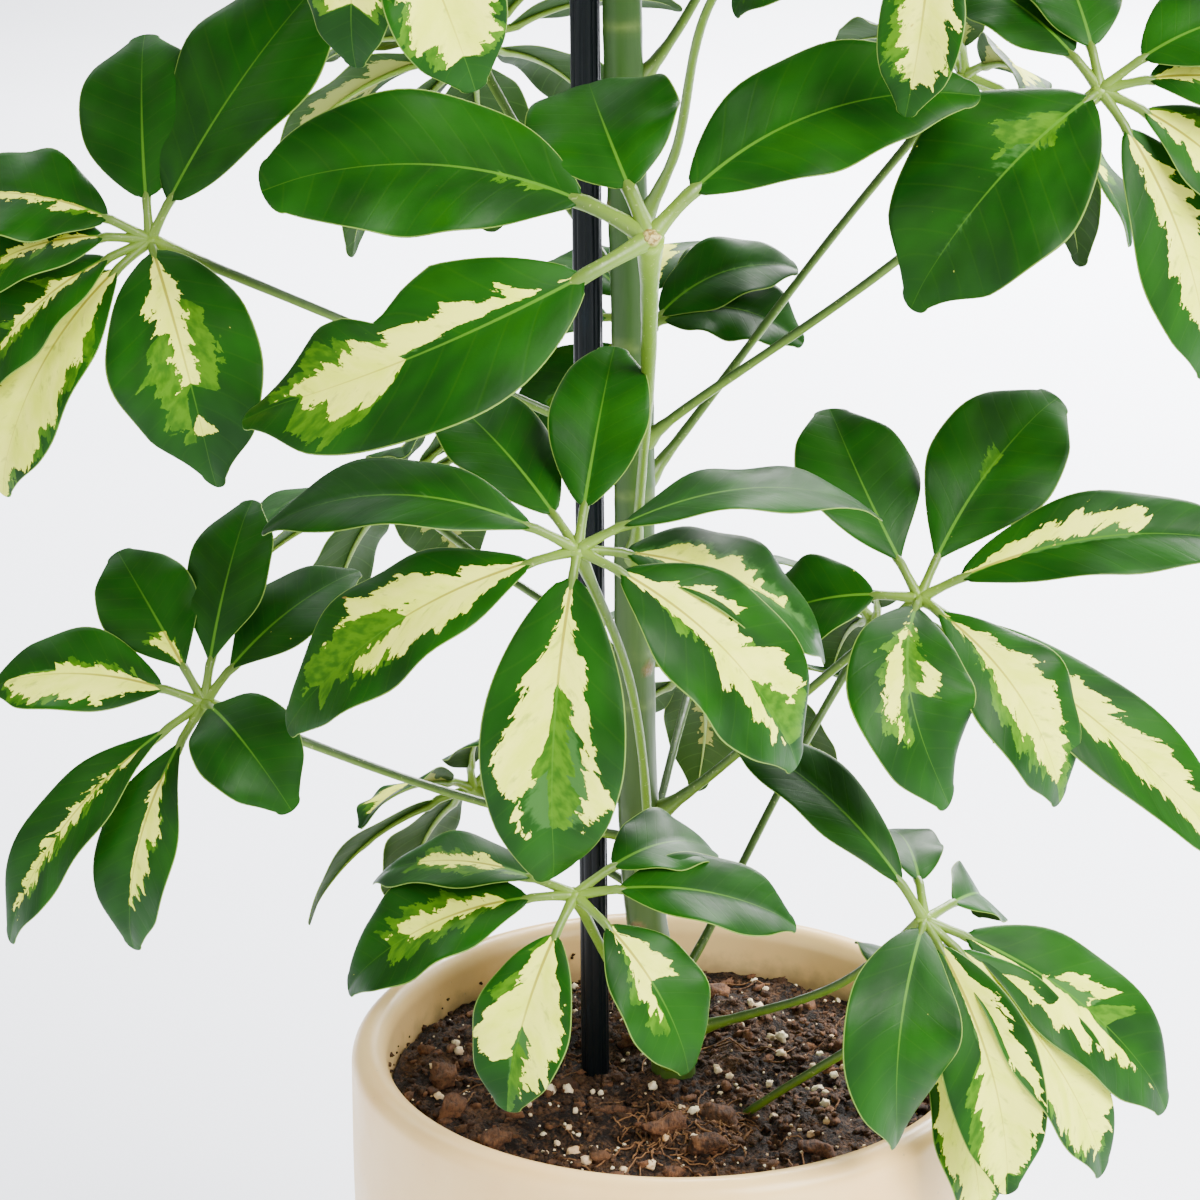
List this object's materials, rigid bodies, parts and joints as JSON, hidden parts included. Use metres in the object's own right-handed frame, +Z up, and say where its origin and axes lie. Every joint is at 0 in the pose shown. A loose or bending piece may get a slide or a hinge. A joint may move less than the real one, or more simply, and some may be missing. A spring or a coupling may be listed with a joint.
{
  "type": "potted umbrella plant",
  "caption": "Variegated umbrella plant with fans of glossy leaflets on a green stem, standing beside a dark stake in a round cream ceramic pot.",
  "frame": {"origin": "centre of the pot's flat base, on the surface that the pot stands on", "axes": "+Z up the stem, +X to the right and -Y towards the viewer in the reference view"},
  "size_m": [0.372, 0.2583, 0.7],
  "materials": {
    "pot_glaze": "satin",
    "potting_soil": "matte",
    "stake_plastic": "satin",
    "green_stem": "satin",
    "variegated_leaf": "gloss",
    "young_leaf": "gloss"
  },
  "bodies": {
    "root": {"pot": "pot_glaze", "soil": "potting_soil", "stake": "stake_plastic", "trunk": "green_stem", "leaf_front_middle": "variegated_leaf", "leaf_front_low": "variegated_leaf", "leaf_right_middle": "variegated_leaf", "leaf_right_low": "variegated_leaf", "leaf_right_lowest": "variegated_leaf", "leaf_left_middle": "variegated_leaf", "leaf_left_upper": "variegated_leaf", "leaf_front_upper": "variegated_leaf", "leaf_right_upper": "variegated_leaf", "leaf_crown_front_left": "variegated_leaf", "leaf_crown_front_right": "variegated_leaf", "leaf_back_right_upper": "variegated_leaf", "leaf_back_upper": "variegated_leaf", "leaf_back_left_upper": "variegated_leaf", "leaf_back_left_middle": "variegated_leaf", "leaf_back_left_low": "variegated_leaf", "leaf_back_middle": "variegated_leaf", "leaf_back_right_middle": "variegated_leaf", "leaf_crown_back": "variegated_leaf", "leaf_crown_left": "variegated_leaf", "leaf_crown_right": "variegated_leaf", "leaf_crown_back_left": "variegated_leaf", "leaf_crown_front": "variegated_leaf", "leaf_crown_top_right": "variegated_leaf", "leaf_crown_top_left": "variegated_leaf", "young_shoot": "young_leaf"}
  },
  "joints": []
}
